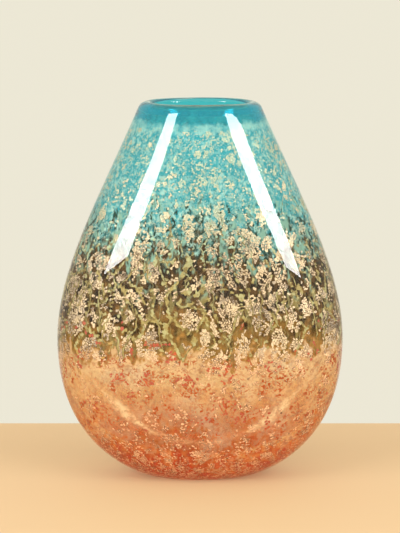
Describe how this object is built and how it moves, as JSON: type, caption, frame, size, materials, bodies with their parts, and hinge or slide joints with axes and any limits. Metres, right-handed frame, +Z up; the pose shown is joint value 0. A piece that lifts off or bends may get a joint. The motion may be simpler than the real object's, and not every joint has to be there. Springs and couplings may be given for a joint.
{
  "type": "art glass vase",
  "caption": "Flattened drop-shaped blown glass vase in cased layers: coral, olive, smoke and turquoise colour under crackled leaf, with a small round mouth and a flat foot.",
  "frame": {"origin": "centre of the flat foot, on the surface the vase stands on", "axes": "+Z up through the mouth, +X to the right along the broad width, -Y out of the front broad face"},
  "size_m": [0.212, 0.106, 0.28],
  "materials": {
    "clear_casing": "fire polished",
    "crackle_leaf": "crackled pale metal leaf in glass",
    "coral_glass": "ground colour melted in",
    "olive_glass": "ground colour melted in",
    "smoke_glass": "ground colour melted in",
    "turquoise_glass": "ground colour melted in",
    "clear_gather": "fire polished",
    "lip_glass": "fire polished"
  },
  "bodies": {
    "root": {"outer_casing": "clear_casing", "crackle_leaf": "crackle_leaf", "coral_band": "coral_glass", "olive_band": "olive_glass", "smoke_band": "smoke_glass", "turquoise_band": "turquoise_glass", "inner_gather": "clear_gather", "rolled_lip": "lip_glass"}
  },
  "joints": []
}
